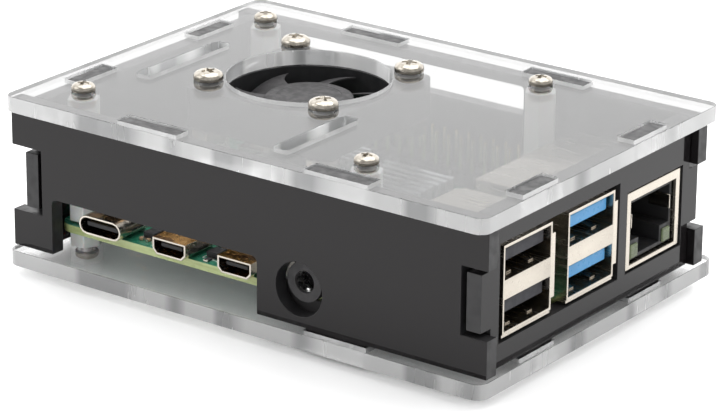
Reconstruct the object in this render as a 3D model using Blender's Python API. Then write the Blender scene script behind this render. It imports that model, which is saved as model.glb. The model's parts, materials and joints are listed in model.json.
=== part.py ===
"""Single board computer in a laser-cut acrylic case with a small cooling fan.

Every named object is one separate piece of the real assembly.  Sizes are in
millimetres on the board's own grid: X runs from the board's left edge to its
USB end, Y from its front edge to its pin-header edge, and Z is measured from
the board's upper face.  at() turns that grid into the model's frame, whose
origin is on the table under the middle of the case.
"""
import math

import bmesh
import bpy
from mathutils import Matrix, Vector

MM = 0.001

# ---- driving dimensions (mm) -------------------------------------------------
SHEET = 2.7            # thickness of every acrylic sheet
GAP = 0.25             # clearance left between pieces that touch
BOARD_X, BOARD_Y, BOARD_T, BOARD_R = 85.0, 56.0, 1.4, 3.0
BOARD_HOLES = [(3.5, 3.5), (61.5, 3.5), (3.5, 52.5), (61.5, 52.5)]
BOARD_HOLE_R = 1.45
STANDOFF_H = 20.0      # board to lid
SPACER_H = 3.0         # base to board

PLATE_X = (-5.8, 90.4)
PLATE_Y = (-6.1, 62.5)
PLATE_R = 2.0

LID_Z = STANDOFF_H                     # underside of the lid
LID_TOP = LID_Z + SHEET
BASE_TOP = -BOARD_T - SPACER_H         # upper face of the base
BASE_Z = BASE_TOP - SHEET

M25_SHAFT_R, M25_HEAD_R, M25_HEAD_H, M25_HOLE_R = 1.15, 2.1, 1.4, 1.5
M3_SHAFT_R, M3_HEAD_R, M3_HEAD_H, M3_HOLE_R = 1.4, 2.6, 1.6, 1.75
HEAD_GAP = GAP / 2                     # under a tightened screw's head
FOOT_Z = BASE_Z - HEAD_GAP - M25_HEAD_H  # the lower screw heads are the feet

FRONT_Y = (-4.1, -4.1 + SHEET)         # front wall, outer and inner face
BACK_Y = (56.5, 56.5 + SHEET)
LEFT_X = (-3.1, -3.1 + SHEET)
RIGHT_X = (88.6 - SHEET, 88.6)
LONG_WALL_X = (-5.8, 90.0)
LONG_TABS_X, LONG_TAB_W = (23.4, 61.3), 11.8
SHORT_TABS_Y, SHORT_TAB_W = (11.5, 43.2), 9.3
NOTCH_Z = (2.2, 13.6)                  # open notches in the long walls' ends
NOTCH_X = (0.5, 85.0)                  # how far the notches reach inwards
HOOK_TAB_Z = (3.1, 12.7)               # tabs of the short walls in those notches

WINDOW_X, WINDOW_TOP = (2.6, 45.6), 5.6
JACK_X, JACK_Z, JACK_R, JACK_BORE_R = 54.0, 2.9, 3.4, 1.9
JACK_HOLE_Z, JACK_HOLE_R = 2.1, 4.6
BACK_SLOT_X, BACK_SLOT_Z = (8.0, 55.5), (13.0, 18.0)
CARD_Y, CARD_CUT_Y, CARD_CUT_TOP = 28.0, (20.5, 35.5), -0.4

FAN_X, FAN_Y, FAN_SIDE, FAN_T = 28.1, 32.75, 30.0, 7.0
FAN_PITCH, FAN_BORE_R, LID_FAN_R = 24.0, 14.2, 14.0
RIBBON_SLOTS = [(5.5, 27.2, 3.0, 22.0), (46.5, 10.3, 3.0, 19.2)]

USB_FACE_X = 88.5
USB_PORT_Z = ((1.3, 6.5), (9.85, 15.05))
USB_STACKS = [("usb2", 9.0), ("usb3", 27.0)]
ETHERNET_Y = 45.75
USB_OPENING = (1.1, -0.2, 35.0, 16.3)          # y0, z0, y1, z1
ETHERNET_OPENING = (37.3, -0.1, 54.2, 13.95)
USB_C_X, HDMI_X = 11.2, (26.0, 39.5)

CENTRE_X = sum(PLATE_X) / 2
CENTRE_Y = sum(PLATE_Y) / 2

# ---- frames: local x, y and thickness direction of a flat cut-out ------------
FLAT = Matrix.Identity(3)                                   # x, y, +Z
FACING_FRONT = Matrix(((1, 0, 0), (0, 0, -1), (0, 1, 0)))   # x, z, -Y
FACING_RIGHT = Matrix(((0, 0, 1), (1, 0, 0), (0, 1, 0)))    # y, z, +X


def clear_scene():
    for obj in list(bpy.data.objects):
        bpy.data.objects.remove(obj, do_unlink=True)


def at(x, y, z):
    """A point of the board's grid, in metres in the model's frame."""
    return Vector((x - CENTRE_X, y - CENTRE_Y, z - FOOT_Z)) * MM


# ---- materials ---------------------------------------------------------------
def make_material(name, color, roughness, metallic=0.0, transmission=0.0):
    mat = bpy.data.materials.new(name)
    mat.use_nodes = True
    bsdf = mat.node_tree.nodes["Principled BSDF"]
    bsdf.inputs["Base Color"].default_value = (*color, 1.0)
    bsdf.inputs["Roughness"].default_value = roughness
    bsdf.inputs["Metallic"].default_value = metallic
    bsdf.inputs["Transmission Weight"].default_value = transmission
    mat.diffuse_color = (*color, 1.0)
    return mat


def make_materials():
    return {
        "clear_acrylic": make_material("clear_acrylic", (0.93, 0.95, 0.95), 0.04, 0.0, 0.95),
        "black_acrylic": make_material("black_acrylic", (0.03, 0.029, 0.03), 0.12),
        "circuit_board": make_material("circuit_board", (0.03, 0.22, 0.11), 0.4),
        "chip_resin": make_material("chip_resin", (0.03, 0.03, 0.032), 0.55),
        "black_plastic": make_material("black_plastic", (0.02, 0.02, 0.022), 0.4),
        "grey_plastic": make_material("grey_plastic", (0.07, 0.07, 0.085), 0.4),
        "blue_plastic": make_material("blue_plastic", (0.06, 0.3, 0.72), 0.35),
        "white_nylon": make_material("white_nylon", (0.85, 0.85, 0.82), 0.45),
        "ivory_plastic": make_material("ivory_plastic", (0.8, 0.76, 0.66), 0.5),
        "nickel_shell": make_material("nickel_shell", (0.72, 0.66, 0.58), 0.28, 1.0),
        "screw_steel": make_material("screw_steel", (0.68, 0.66, 0.62), 0.25, 1.0),
        "aluminium": make_material("aluminium", (0.75, 0.77, 0.78), 0.35, 1.0),
        "copper_coil": make_material("copper_coil", (0.6, 0.28, 0.12), 0.35, 1.0),
    }


MATERIALS = {}


# ---- outlines (lists of points, counter-clockwise, mm) -----------------------
def rectangle(x0, y0, x1, y1):
    return [(x0, y0), (x1, y0), (x1, y1), (x0, y1)]


def arc(cx, cy, radius, start, sweep, steps):
    """Points on an arc, angles in degrees, both ends included."""
    points = []
    for i in range(steps + 1):
        angle = math.radians(start + sweep * i / steps)
        points.append((cx + radius * math.cos(angle), cy + radius * math.sin(angle)))
    return points


def circle(cx, cy, radius, steps):
    return arc(cx, cy, radius, 0.0, 360.0, steps)[:-1]


def rounded_rectangle(x0, y0, x1, y1, radius, steps=4):
    corners = [(x1 - radius, y0 + radius, -90), (x1 - radius, y1 - radius, 0),
               (x0 + radius, y1 - radius, 90), (x0 + radius, y0 + radius, 180)]
    points = []
    for cx, cy, start in corners:
        points += arc(cx, cy, radius, start, 90, steps)
    return points


def hexagon(cx, cy, across_flats):
    return circle(cx, cy, across_flats / math.sqrt(3), 6)


def shifted(points, dx, dy):
    return [(x + dx, y + dy) for x, y in points]


# ---- solids ------------------------------------------------------------------
def add_object(name, bm, material):
    bmesh.ops.recalc_face_normals(bm, faces=bm.faces)
    mesh = bpy.data.meshes.new(name)
    bm.to_mesh(mesh)
    bm.free()
    obj = bpy.data.objects.new(name, mesh)
    bpy.context.scene.collection.objects.link(obj)
    if material:
        mesh.materials.append(MATERIALS[material])
    return obj


def cut_sheet(name, outer, holes, thickness, material, frame=FLAT, place=(0, 0, 0)):
    """A flat cut-out: an outline with holes, given a thickness.

    place is the grid point where the outline's own origin and the sheet's
    first face lie; the sheet grows from there along the frame's third axis.
    """
    bm = bmesh.new()
    edges = []
    for loop in [outer] + list(holes):
        verts = [bm.verts.new((x * MM, y * MM, 0.0)) for x, y in loop]
        edges += [bm.edges.new((verts[i - 1], verts[i])) for i in range(len(verts))]
    bmesh.ops.triangle_fill(bm, use_beauty=True, use_dissolve=False, edges=edges,
                            normal=(0.0, 0.0, 1.0))
    grown = bmesh.ops.extrude_face_region(bm, geom=list(bm.faces))
    moved = [item for item in grown["geom"] if isinstance(item, bmesh.types.BMVert)]
    bmesh.ops.translate(bm, verts=moved, vec=(0.0, 0.0, thickness * MM))
    bmesh.ops.transform(bm, matrix=frame.to_4x4(), verts=bm.verts)
    obj = add_object(name, bm, material)
    obj.location = at(*place)
    return obj


def box(name, x, y, z, material, bevel=0.0):
    """A block between pairs of grid coordinates, with its edges broken by bevel."""
    centre = [(a + b) / 2 for a, b in (x, y, z)]
    bm = bmesh.new()
    bmesh.ops.create_cube(bm, size=1.0)
    sizes = [abs(b - a) * MM for a, b in (x, y, z)]
    bmesh.ops.scale(bm, vec=sizes, verts=bm.verts)
    if bevel:
        bmesh.ops.bevel(bm, geom=bm.edges[:], offset=bevel * MM, segments=1,
                        affect="EDGES", profile=0.5)
    obj = add_object(name, bm, material)
    obj.location = at(*centre)
    return obj


def turned(name, profile, steps, material, place):
    """A turned piece: (radius, height) points from the axis, round and back to it."""
    bm = bmesh.new()
    rings = []
    for radius, height in profile:
        if radius == 0:
            rings.append([bm.verts.new((0.0, 0.0, height * MM))])
        else:
            rings.append([bm.verts.new((x * MM, y * MM, height * MM))
                          for x, y in circle(0, 0, radius, steps)])
    closed_on_axis = profile[0][0] == 0
    pairs = list(zip(rings, rings[1:]))
    if not closed_on_axis:
        pairs.append((rings[-1], rings[0]))
    for lower, upper in pairs:
        for i in range(steps):
            quad = [lower[i % len(lower)], lower[(i + 1) % len(lower)],
                    upper[(i + 1) % len(upper)], upper[i % len(upper)]]
            corners = list(dict.fromkeys(quad))
            bm.faces.new(corners)
    obj = add_object(name, bm, material)
    obj.data.shade_smooth()
    obj.data.set_sharp_from_angle(angle=math.radians(35))
    obj.location = at(*place)
    return obj


def combine(obj, tool, operation):
    """Boolean obj with a hidden tool."""
    tool.hide_render = True
    tool.display_type = "WIRE"
    mod = obj.modifiers.new(operation.lower(), "BOOLEAN")
    mod.operation = operation
    mod.solver = "EXACT"
    mod.object = tool


def add(obj, *tools):
    for tool in tools:
        combine(obj, tool, "UNION")
    return obj


def subtract(obj, *tools):
    for tool in tools:
        combine(obj, tool, "DIFFERENCE")
    return obj


def copy_of(obj, name, place):
    """Another piece of the same shape, with the same hidden tools."""
    twin = obj.copy()
    twin.name = name
    twin.location = at(*place)
    bpy.context.scene.collection.objects.link(twin)
    for mod in twin.modifiers:
        tool = mod.object.copy()
        tool.name = name + "_tool"
        tool.location = mod.object.location + twin.location - obj.location
        bpy.context.scene.collection.objects.link(tool)
        mod.object = tool
    return twin


# ---- the case ----------------------------------------------------------------
def tab_slots(tabs, width, across):
    """Slots for a wall's tabs; across is the wall's span through its thickness."""
    lo, hi = across[0] - GAP, across[1] + GAP
    return [(t - width / 2 - GAP, lo, t + width / 2 + GAP, hi) for t in tabs]


def plate_outline():
    return rounded_rectangle(PLATE_X[0], PLATE_Y[0], PLATE_X[1], PLATE_Y[1], PLATE_R)


def wall_slots(front_tabs):
    """The slots in a plate for the tabs of all four walls."""
    slots = tab_slots(front_tabs, LONG_TAB_W, FRONT_Y)
    slots += tab_slots(LONG_TABS_X, LONG_TAB_W, BACK_Y)
    for wall in (LEFT_X, RIGHT_X):
        for x0, y0, x1, y1 in tab_slots(SHORT_TABS_Y, SHORT_TAB_W, wall):
            slots.append((y0, x0, y1, x1))
    return [rectangle(*slot) for slot in slots]


def fan_corners():
    half = FAN_PITCH / 2
    return [(FAN_X + sx * half, FAN_Y + sy * half) for sx in (-1, 1) for sy in (-1, 1)]


def build_plates():
    lid_holes = wall_slots(LONG_TABS_X)
    lid_holes.append(circle(FAN_X, FAN_Y, LID_FAN_R, 48))
    lid_holes += [circle(x, y, M3_HOLE_R, 14) for x, y in fan_corners()]
    lid_holes += [circle(x, y, M25_HOLE_R, 14) for x, y in BOARD_HOLES]
    for cx, cy, wide, long in RIBBON_SLOTS:
        lid_holes.append(rounded_rectangle(cx - wide / 2, cy - long / 2,
                                           cx + wide / 2, cy + long / 2, 0.6, 2))
    cut_sheet("top_plate", plate_outline(), lid_holes, SHEET, "clear_acrylic",
              place=(0, 0, LID_Z))
    base_holes = wall_slots(LONG_TABS_X[1:])
    base_holes += [circle(x, y, M25_HOLE_R, 14) for x, y in BOARD_HOLES]
    cut_sheet("bottom_plate", plate_outline(), base_holes, SHEET, "clear_acrylic",
              place=(0, 0, BASE_Z))


def edge_with_tabs(start, end, level, tip, tabs, width):
    """Points from start to end at one level, with square tabs reaching tip."""
    step = 1 if end > start else -1
    points = [(start, level)]
    for tab in sorted(tabs, reverse=step < 0):
        near, far = tab - step * width / 2, tab + step * width / 2
        points += [(near, level), (near, tip), (far, tip), (far, level)]
    return points + [(end, level)]


def wall_levels():
    low, high = BASE_TOP + GAP, LID_Z - GAP
    return low, high, BASE_Z + GAP, LID_TOP - GAP


def long_wall_outline(lower_edge):
    """A front or back wall: tabs along both edges and open notches in its ends."""
    low, high, _, tip_high = wall_levels()
    x0, x1 = LONG_WALL_X
    right_end = [(x1, NOTCH_Z[0]), (NOTCH_X[1], NOTCH_Z[0]),
                 (NOTCH_X[1], NOTCH_Z[1]), (x1, NOTCH_Z[1])]
    left_end = [(x0, NOTCH_Z[1]), (NOTCH_X[0], NOTCH_Z[1]),
                (NOTCH_X[0], NOTCH_Z[0]), (x0, NOTCH_Z[0])]
    upper = edge_with_tabs(x1, x0, high, tip_high, LONG_TABS_X, LONG_TAB_W)
    return lower_edge + right_end + upper + left_end


def build_front_wall():
    low, _, tip_low, _ = wall_levels()
    x0, x1 = WINDOW_X
    lower = [(LONG_WALL_X[0], low), (x0, low)]
    lower += arc(x0 + 1, WINDOW_TOP - 1, 1.0, 180, -90, 3)
    lower += arc(x1 - 1, WINDOW_TOP - 1, 1.0, 90, -90, 3)
    lower += edge_with_tabs(x1, LONG_WALL_X[1], low, tip_low, LONG_TABS_X[1:], LONG_TAB_W)
    jack_hole = circle(JACK_X, JACK_HOLE_Z, JACK_HOLE_R, 28)
    cut_sheet("front_wall", long_wall_outline(lower), [jack_hole], SHEET, "black_acrylic",
              FACING_FRONT, (0, FRONT_Y[1], 0))


def build_back_wall():
    low, _, tip_low, _ = wall_levels()
    lower = edge_with_tabs(*LONG_WALL_X, low, tip_low, LONG_TABS_X, LONG_TAB_W)
    slot = rounded_rectangle(BACK_SLOT_X[0], BACK_SLOT_Z[0], BACK_SLOT_X[1], BACK_SLOT_Z[1],
                             0.6, 2)
    cut_sheet("back_wall", long_wall_outline(lower), [slot], SHEET, "black_acrylic",
              FACING_FRONT, (0, BACK_Y[1], 0))


def short_wall_outline(lower_edge):
    """A left or right wall: edge tabs, and end tabs that sit in the long walls."""
    low, high, _, tip_high = wall_levels()
    y0, y1 = FRONT_Y[1] + GAP, BACK_Y[0] - GAP
    tip0, tip1 = FRONT_Y[0] + GAP, BACK_Y[1] - GAP
    z0, z1 = HOOK_TAB_Z
    back_end = [(y1, z0), (tip1, z0), (tip1, z1), (y1, z1)]
    upper = edge_with_tabs(y1, y0, high, tip_high, SHORT_TABS_Y, SHORT_TAB_W)
    front_end = [(y0, z1), (tip0, z1), (tip0, z0), (y0, z0)]
    return lower_edge + back_end + upper + front_end


def build_side_walls():
    low, _, tip_low, _ = wall_levels()
    y0, y1 = FRONT_Y[1] + GAP, BACK_Y[0] - GAP
    cut0, cut1 = CARD_CUT_Y
    lower = edge_with_tabs(y0, cut0, low, tip_low, SHORT_TABS_Y[:1], SHORT_TAB_W)
    lower += arc(cut0 + 1, CARD_CUT_TOP - 1, 1.0, 180, -90, 3)
    lower += arc(cut1 - 1, CARD_CUT_TOP - 1, 1.0, 90, -90, 3)
    lower += edge_with_tabs(cut1, y1, low, tip_low, SHORT_TABS_Y[1:], SHORT_TAB_W)
    cut_sheet("left_wall", short_wall_outline(lower), [], SHEET, "black_acrylic",
              FACING_RIGHT, (LEFT_X[0], 0, 0))
    lower = edge_with_tabs(y0, y1, low, tip_low, SHORT_TABS_Y, SHORT_TAB_W)
    openings = [rectangle(*USB_OPENING), rectangle(*ETHERNET_OPENING)]
    cut_sheet("right_wall", short_wall_outline(lower), openings, SHEET, "black_acrylic",
              FACING_RIGHT, (RIGHT_X[0], 0, 0))


# ---- fasteners ---------------------------------------------------------------
def pan_screw(name, head_r, head_h, shaft_r, length, place, pointing=-1):
    """A cross-recessed pan head screw; its shaft points down, or up with +1."""
    side = -pointing
    dome = [(0, head_h), (head_r * 0.55, head_h), (head_r * 0.85, head_h * 0.78),
            (head_r, head_h * 0.38), (head_r, 0), (shaft_r, 0), (shaft_r, -length),
            (0, -length)]
    obj = turned(name, [(r, side * h) for r, h in dome], 14, "screw_steel", place)
    arm, half = head_r * 0.5, head_r * 0.1
    cross = [(arm, -half), (arm, half), (half, half), (half, arm), (-half, arm),
             (-half, half), (-arm, half), (-arm, -half), (-half, -half),
             (-half, -arm), (half, -arm), (half, -half)]
    x, y, z = place
    floor = z + side * head_h * 0.45
    depth = head_h * side
    cutter = cut_sheet(name + "_recess", cross, [], depth, None, place=(x, y, floor))
    return subtract(obj, cutter)


def hex_pillar(name, across, hole_r, height, depth, material, place):
    """A hexagonal pillar with a blind hole in each end, or one hole right through."""
    through = depth is None
    holes = [circle(0, 0, hole_r, 10)]
    pillar = cut_sheet(name, hexagon(0, 0, across), holes if through else [], height,
                       material, place=place)
    if not through:
        x, y, z = place
        over = 0.5
        for level in (z - over, z + height - depth):
            drill = cut_sheet(name + "_drill", holes[0], [], depth + over, None,
                              place=(x, y, level))
            subtract(pillar, drill)
    return pillar


def build_corner_hardware():
    """Lid screw, standoff, spacer and base screw at each corner of the board."""
    pillar_h = STANDOFF_H - 2 * GAP
    stacks = {
        "lid_screw": lambda n, p: pan_screw(n, M25_HEAD_R, M25_HEAD_H, M25_SHAFT_R, 7.0, p),
        "standoff": lambda n, p: hex_pillar(n, 5.0, M25_HOLE_R, pillar_h, 6.0,
                                            "white_nylon", p),
        "spacer": lambda n, p: hex_pillar(n, 5.0, M25_HOLE_R, SPACER_H - 2 * GAP, None,
                                          "white_nylon", p),
        "base_screw": lambda n, p: pan_screw(n, M25_HEAD_R, M25_HEAD_H, M25_SHAFT_R, 12.0,
                                             p, pointing=1),
    }
    levels = {"lid_screw": LID_TOP + HEAD_GAP, "standoff": GAP, "spacer": BASE_TOP + GAP,
              "base_screw": BASE_Z - HEAD_GAP}
    for kind, make in stacks.items():
        first = None
        for number, (x, y) in enumerate(BOARD_HOLES, 1):
            place = (x, y, levels[kind])
            name = f"{kind}_{number}"
            if first is None:
                first = make(name, place)
            else:
                copy_of(first, name, place)


# ---- the fan -----------------------------------------------------------------
FAN_TOP = LID_Z - GAP
FAN_Z = FAN_TOP - FAN_T
BEARING_R, SHAFT_R = 0.85, 0.75
HUB_R, CUP_R, BLADE_TIP_R, BLADES = 7.6, 6.7, 13.5, 7
HUB_Z = (FAN_Z + 1.9, FAN_TOP - 0.5)


def build_fan_frame():
    half = FAN_SIDE / 2
    holes = [circle(0, 0, FAN_BORE_R, 40)]
    holes += [circle(x - FAN_X, y - FAN_Y, M3_HOLE_R, 12) for x, y in fan_corners()]
    frame = cut_sheet("fan_frame", rounded_rectangle(-half, -half, half, half, 1.5, 3),
                      holes, FAN_T, "black_plastic", place=(FAN_X, FAN_Y, FAN_Z))
    boss_r, boss_top = 2.2, 4.6
    boss = turned("fan_frame_boss", [(0, 0.7), (BEARING_R, 0.7), (BEARING_R, boss_top),
                                     (boss_r, boss_top), (boss_r, 1.4), (6.6, 1.4),
                                     (6.6, 0.2), (0, 0.2)], 20, None,
                  (FAN_X, FAN_Y, FAN_Z))
    tools = [boss]
    for i in range(3):
        angle = math.radians(90 + 120 * i)
        spoke = cut_sheet(f"fan_frame_spoke_{i}", rectangle(5.5, -0.9, FAN_BORE_R + 0.4, 0.9),
                          [], 0.9, None, place=(FAN_X, FAN_Y, FAN_Z + 0.35))
        spoke.rotation_euler = (0, 0, angle)
        tools.append(spoke)
    return add(frame, *tools)


def blade_mesh(bm, turn):
    """One swept blade, a thin twisted plate from inside the hub to its tip."""
    spans, chords = 3, 3
    sweep, thick = math.radians(38), 0.55
    z_lead, z_trail = HUB_Z[1] - 0.5, HUB_Z[0] + 0.3
    sides = {}
    for side in (-1, 1):
        for i in range(spans + 1):
            u = i / spans
            radius = HUB_R - 0.6 + (BLADE_TIP_R - HUB_R + 0.6) * u
            for j in range(chords + 1):
                v = j / chords
                angle = turn + sweep * v - math.radians(12) * u * u
                z = z_lead + (z_trail - z_lead) * v + side * thick / 2
                bow = 0.5 * math.sin(math.pi * v)
                sides[side, i, j] = bm.verts.new((radius * math.cos(angle) * MM,
                                                  radius * math.sin(angle) * MM,
                                                  (z + bow - FAN_Z) * MM))
    for side in (-1, 1):
        for i in range(spans):
            for j in range(chords):
                bm.faces.new((sides[side, i, j], sides[side, i + 1, j],
                              sides[side, i + 1, j + 1], sides[side, i, j + 1]))
    rim = [(i, 0) for i in range(spans)] + [(spans, j) for j in range(chords)]
    rim += [(i, chords) for i in range(spans, 0, -1)] + [(0, j) for j in range(chords, 0, -1)]
    for a, b in zip(rim, rim[1:] + rim[:1]):
        bm.faces.new((sides[-1, *a], sides[-1, *b], sides[1, *b], sides[1, *a]))


def build_fan_rotor():
    low, high = HUB_Z[0] - FAN_Z, HUB_Z[1] - FAN_Z
    roof = high - 0.9
    rotor = turned("fan_rotor", [(0, high), (HUB_R - 0.5, high), (HUB_R, high - 0.5),
                                 (HUB_R, low), (CUP_R, low), (CUP_R, roof), (0, roof)],
                   28, "black_plastic", (FAN_X, FAN_Y, FAN_Z))
    bm = bmesh.new()
    for i in range(BLADES):
        blade_mesh(bm, 2 * math.pi * i / BLADES)
    blades = add_object("fan_rotor_blades", bm, None)
    blades.location = at(FAN_X, FAN_Y, FAN_Z)
    add(rotor, blades)
    turned("fan_shaft", [(0, 1.0), (SHAFT_R, 1.0), (SHAFT_R, roof - GAP), (0, roof - GAP)],
           12, "screw_steel", (FAN_X, FAN_Y, FAN_Z))


def build_fan_stator():
    """The wound ring that drives the rotor, around the bearing tube."""
    arms = 4
    inner, neck, outer = 2.5, 2.0, 6.2
    points = []
    for i in range(arms):
        middle = 360 * i / arms
        points += arc(0, 0, outer, middle - 30, 60, 4)
        points += arc(0, 0, outer - neck, middle + 32, 26, 2)
    cut_sheet("fan_stator", points, [circle(0, 0, inner, 16)], 2.4, "copper_coil",
              place=(FAN_X, FAN_Y, FAN_Z + 1.7))


def build_fan_fasteners():
    nut_t = 2.4
    first_screw = first_nut = None
    for number, (x, y) in enumerate(fan_corners(), 1):
        screw_at, nut_at = (x, y, LID_TOP + HEAD_GAP), (x, y, FAN_Z - GAP - nut_t)
        if first_screw is None:
            first_screw = pan_screw("fan_screw_1", M3_HEAD_R, M3_HEAD_H, M3_SHAFT_R, 12.5,
                                    screw_at)
            first_nut = hex_pillar("fan_nut_1", 5.5, M3_HOLE_R, nut_t, None, "screw_steel",
                                   nut_at)
        else:
            copy_of(first_screw, f"fan_screw_{number}", screw_at)
            copy_of(first_nut, f"fan_nut_{number}", nut_at)


# ---- the board and what is soldered to it ------------------------------------
def build_board():
    outline = rounded_rectangle(0, 0, BOARD_X, BOARD_Y, BOARD_R)
    holes = [circle(x, y, BOARD_HOLE_R, 14) for x, y in BOARD_HOLES]
    cut_sheet("circuit_board", outline, holes, BOARD_T, "circuit_board",
              place=(0, 0, -BOARD_T))


def build_chips():
    chips = [("processor", (21.8, 36.8), (25.0, 40.0), 1.9, "nickel_shell"),
             ("memory_chip", (40.0, 54.5), (26.3, 38.7), 1.2, "chip_resin"),
             ("radio_shield", (7.4, 19.4), (39.4, 48.6), 2.1, "nickel_shell")]
    for name, x, y, top, material in chips:
        box(name, x, y, (GAP, top), material, bevel=0.15)


def build_heatsinks():
    """Finned blocks stuck on the processor and the memory, fins along X."""
    fin, base, height = 0.9, 1.3, 5.4
    sinks = [("processor_heatsink", 22.3, 14.0, 25.4, 14.2, 1.9),
             ("memory_heatsink", 40.2, 14.0, 26.1, 12.2, 1.2)]
    for name, x, length, y, width, under in sinks:
        count = round((width - fin) / 2.0) + 1
        pitch = (width - fin) / (count - 1)
        profile = [(0, 0), (width, 0)]
        for i in reversed(range(count)):
            near = i * pitch
            profile += [(near + fin, height), (near, height)]
            if i:
                profile += [(near, base), (near - pitch + fin, base)]
        cut_sheet(name, profile, [], length, "aluminium", FACING_RIGHT,
                  (x, y, under + GAP))


def usb_ports(widen=0.0):
    """The two openings of a stacked USB socket, about its own centre line."""
    half = 6.3 + widen
    return [(-half, low - widen, half, high + widen) for low, high in USB_PORT_Z]


def build_usb_stacks():
    rear, back_plate = 71.6, 0.7
    for name, y in USB_STACKS:
        half, low, high, ear = 6.7, GAP, 15.5, 7.6
        shell = cut_sheet(f"{name}_shell", rectangle(-half, low, half, high),
                          [rectangle(*port) for port in usb_ports()],
                          USB_FACE_X - 0.2 - rear, "nickel_shell", FACING_RIGHT,
                          (rear, y, 0))
        lip = [(-half, 0.8), (half, 0.8), (half, 2.8), (ear, 2.8), (ear, 13.6),
               (half, 13.6), (half, high + 0.1), (-half, high + 0.1)]
        flange = cut_sheet(f"{name}_flange", lip,
                           [rectangle(*port) for port in usb_ports(0.05)], 0.45, None,
                           FACING_RIGHT, (USB_FACE_X - 0.45, y, 0))
        add(shell, flange)
        material = "blue_plastic" if name == "usb3" else "grey_plastic"
        rear_x = (rear - GAP - back_plate, rear - GAP)
        insert = box(f"{name}_insert", rear_x, (y - 6.2, y + 6.2), (1.2, 15.1), material)
        tools = []
        for i, (y0, z0, y1, z1) in enumerate(usb_ports(-GAP)):
            plug = box(f"{name}_plug_{i}", (rear_x[0] + 0.3, 76.0), (y + y0, y + y1), (z0, z1),
                       None)
            tongue = box(f"{name}_tongue_{i}", (75.0, USB_FACE_X - 0.9), (y - 5.7, y + 5.7),
                         (z1 - 2.5, z1 - 0.2), None)
            tools += [plug, tongue]
        add(insert, *tools)


def build_ethernet_jack():
    rear, face = 67.6, USB_FACE_X - 0.1
    y = ETHERNET_Y
    window = rectangle(-6.9, 1.0, 6.9, 12.0)
    cut_sheet("ethernet_shell", rectangle(-8.0, GAP, 8.0, 13.6), [window], face - rear,
              "nickel_shell", FACING_RIGHT, (rear, y, 0))
    insert = box("ethernet_insert", (rear + 0.3, face - 0.7), (y - 6.6, y + 6.6),
                 (1.3, 11.7), "black_plastic")
    plug_space = [(-5.95, 4.7), (-3.2, 4.7), (-3.2, 2.0), (3.2, 2.0), (3.2, 4.7),
                  (5.95, 4.7), (5.95, 11.2), (-5.95, 11.2)]
    cavity = cut_sheet("ethernet_cavity", plug_space, [], 15.0, None, FACING_RIGHT,
                       (face - 14.5, y, 0))
    subtract(insert, cavity)


def obround(width, height, steps=6):
    radius = height / 2
    reach = width / 2 - radius
    return arc(reach, radius, radius, -90, 180, steps) + arc(-reach, radius, radius, 90, 180,
                                                             steps)


def chamfered(width, height, chamfer):
    half = width / 2
    return [(-half + chamfer, 0), (half - chamfer, 0), (half, chamfer), (half, height),
            (-half, height), (-half, chamfer)]


def front_socket(name, x, outer, inner, wall, depth, nose, tongue):
    """A sheet-metal socket on the front edge with a plastic insert and its tongue."""
    back = depth - nose
    cut_sheet(f"{name}_shell", outer, [shifted(inner, 0, wall)], depth, "nickel_shell",
              FACING_FRONT, (x, back, GAP))
    plug = cut_sheet(f"{name}_insert", shifted([(px * 0.9, py * 0.86) for px, py in inner],
                                               0, wall + GAP), [], 1.8, "black_plastic",
                     FACING_FRONT, (x, back - 0.1, GAP))
    width, z0, z1 = tongue
    blade = box(f"{name}_tongue", (x - width / 2, x + width / 2), (0.8 - nose, back - 1.0),
                (z0, z1), None)
    add(plug, blade)


def build_front_sockets():
    front_socket("usb_c", USB_C_X, obround(8.94, 3.26), obround(8.24, 2.56), 0.35, 8.15, 2.1,
                 (6.6, 1.5, 2.25))
    for number, x in enumerate(HDMI_X):
        front_socket(f"micro_hdmi_{number}", x, chamfered(6.9, 2.9, 0.85),
                     chamfered(6.2, 2.2, 0.7), 0.35, 8.6, 2.2, (4.4, 1.55, 2.2))


def build_audio_jack():
    """A block on the board whose wide barrel starts just clear of the board's edge."""
    body = box("audio_jack", (JACK_X - 3.5, JACK_X + 3.5), (-0.7, 12.2), (GAP, 6.1),
               "black_plastic", bevel=0.2)
    barrel = cut_sheet("audio_jack_barrel", circle(0, 0, JACK_R, 28), [], 2.3, None,
                       FACING_FRONT, (JACK_X, -GAP, JACK_Z))
    bore = cut_sheet("audio_jack_bore", circle(0, 0, JACK_BORE_R, 18), [], 12.5, None,
                     FACING_FRONT, (JACK_X, 9.2, JACK_Z))
    add(body, barrel)
    subtract(body, bore)


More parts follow.
